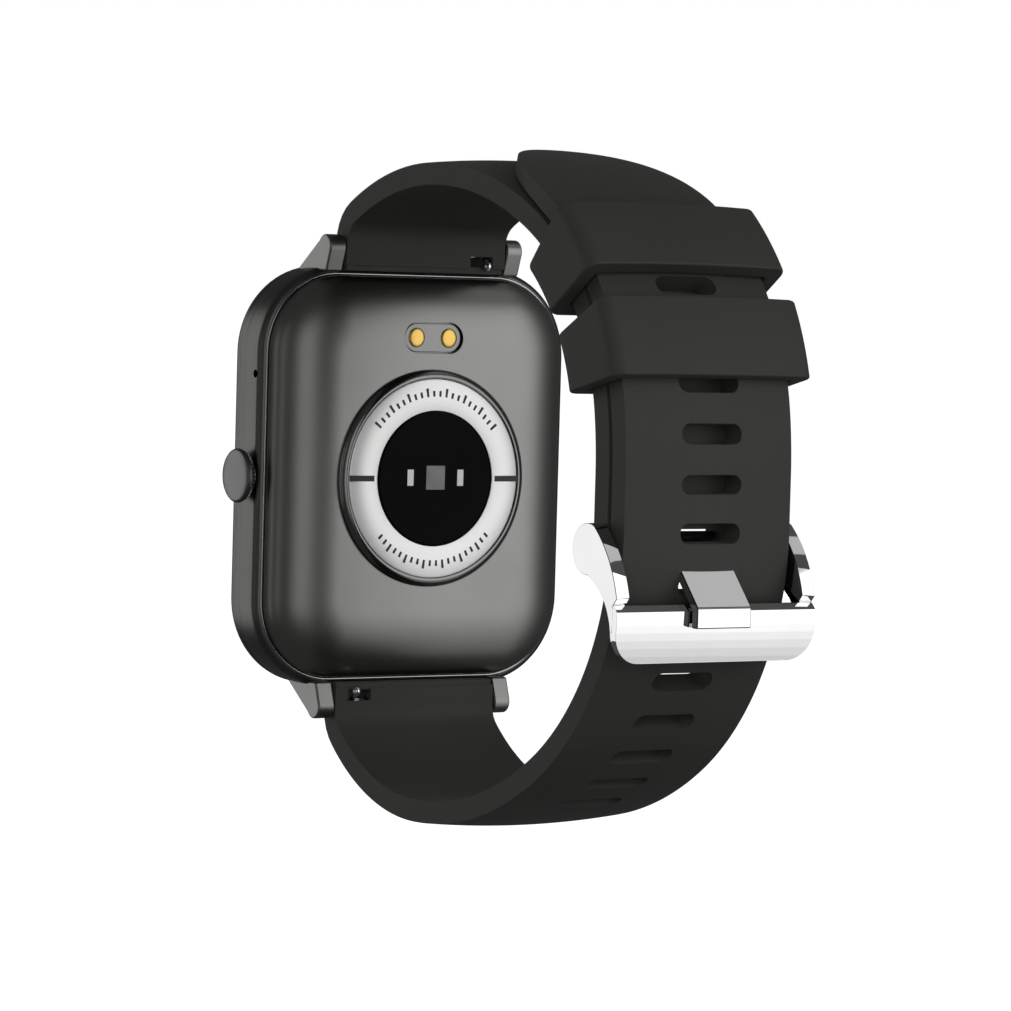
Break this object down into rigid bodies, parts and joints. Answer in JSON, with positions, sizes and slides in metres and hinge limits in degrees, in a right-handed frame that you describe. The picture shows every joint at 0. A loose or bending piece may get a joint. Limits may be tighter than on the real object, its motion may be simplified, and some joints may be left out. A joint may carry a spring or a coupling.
{
  "type": "smartwatch",
  "caption": "Buckled smartwatch: rounded rectangular metal case, optical sensor in a domed back cover, turning crown, silicone band with keepers and a pin buckle.",
  "frame": {"origin": "centre of the wrist opening, on the middle of the case seen from the front", "axes": "+X towards the crown, +Z towards 12 o'clock, -Y out of the display, +Y towards the buckle side of the band"},
  "size_m": [0.0396, 0.0632, 0.0702],
  "materials": {
    "case_metal": "satin anodised gunmetal",
    "cover_plastic": "fine satin grey black",
    "gasket_rubber": "matt",
    "front_glass": "polished, printed black behind",
    "adhesive": "matt",
    "panel": "dark, switched off",
    "ring_white": "white ring",
    "lens_black": "polished black with a white band",
    "board_green": "solder mask",
    "led_white": "clear resin",
    "diode_grey": "grey silicon window",
    "barrier_black": "matt",
    "gold": "gold plated",
    "magnet": "nickel plated",
    "tray_plastic": "moulded",
    "screw_steel": "machined",
    "battery_foil": "silver pouch",
    "motor_steel": "pressed",
    "crown_metal": "satin with bright edges",
    "silicone": "soft matt silicone",
    "bar_steel": "drawn",
    "pin_steel": "polished",
    "spring_steel": "drawn",
    "buckle_chrome": "polished"
  },
  "bodies": {
    "watch": {"mid_frame": "case_metal", "display_glass": "front_glass", "glass_bond": "adhesive", "display_panel": "panel", "back_cover": "cover_plastic", "cover_gasket": "gasket_rubber", "sensor_ring": "ring_white", "sensor_lens": "lens_black", "sensor_board": "board_green", "sensor_leds": "led_white", "photodiode": "diode_grey", "light_barrier": "barrier_black", "charge_contacts": "gold", "charge_magnets": "magnet", "inner_tray": "tray_plastic", "main_board": "board_green", "board_screws": "screw_steel", "battery": "battery_foil", "vibration_motor": "motor_steel", "microphone": "motor_steel", "crown_switch": "barrier_black", "short_strap": "silicone", "long_strap": "silicone", "spring_bar_top": "bar_steel", "bar_spring_top": "spring_steel", "spring_bar_bottom": "bar_steel", "bar_spring_bottom": "spring_steel"},
    "crown_push": {"switch_plunger": "tray_plastic"},
    "crown_turn": {"crown": "crown_metal", "crown_seal": "gasket_rubber", "crown_clip": "screw_steel"},
    "keeper_low": {"lower_keeper": "silicone"},
    "keeper_high": {"upper_keeper": "silicone"},
    "buckle": {"buckle_frame": "buckle_chrome", "buckle_pin": "pin_steel"},
    "tang": {"buckle_tang": "buckle_chrome"},
    "release_top": {"release_pin_top": "pin_steel"},
    "release_bottom": {"release_pin_bottom": "pin_steel"}
  },
  "joints": [
    {"name": "crown_press", "type": "slide", "parent": "watch", "child": "crown_push", "axis": [-1, 0, 0], "range_m": [0, 0.0003], "stiffness_N_per_m": 4000, "springref_m": -0.0001},
    {"name": "crown_spin", "type": "hinge", "parent": "crown_push", "child": "crown_turn", "pos_m": [0.019, -0.028, 0], "axis": [1, 0, 0], "continuous": true},
    {"name": "lower_keeper_slide", "type": "hinge", "parent": "watch", "child": "keeper_low", "pos_m": [0, -0.00231, 0.00477], "axis": [1, 0, 0], "range_deg": [-5.5, 2.5]},
    {"name": "upper_keeper_slide", "type": "hinge", "parent": "watch", "child": "keeper_high", "pos_m": [0, -0.00231, 0.00477], "axis": [1, 0, 0], "range_deg": [-2.5, 8.5]},
    {"name": "buckle_swing", "type": "hinge", "parent": "watch", "child": "buckle", "pos_m": [0, 0.02315, -0.00464], "axis": [1, 0, 0], "range_deg": [-13, 0]},
    {"name": "tang_lift", "type": "hinge", "parent": "watch", "child": "tang", "pos_m": [0, 0.02315, -0.00464], "axis": [1, 0, 0], "range_deg": [0, 4]},
    {"name": "release_top_slide", "type": "slide", "parent": "watch", "child": "release_top", "axis": [1, 0, 0], "range_m": [0, 0.0012], "stiffness_N_per_m": 800, "springref_m": -0.0005},
    {"name": "release_bottom_slide", "type": "slide", "parent": "watch", "child": "release_bottom", "axis": [-1, 0, 0], "range_m": [0, 0.0012], "stiffness_N_per_m": 800, "springref_m": -0.0005}
  ]
}
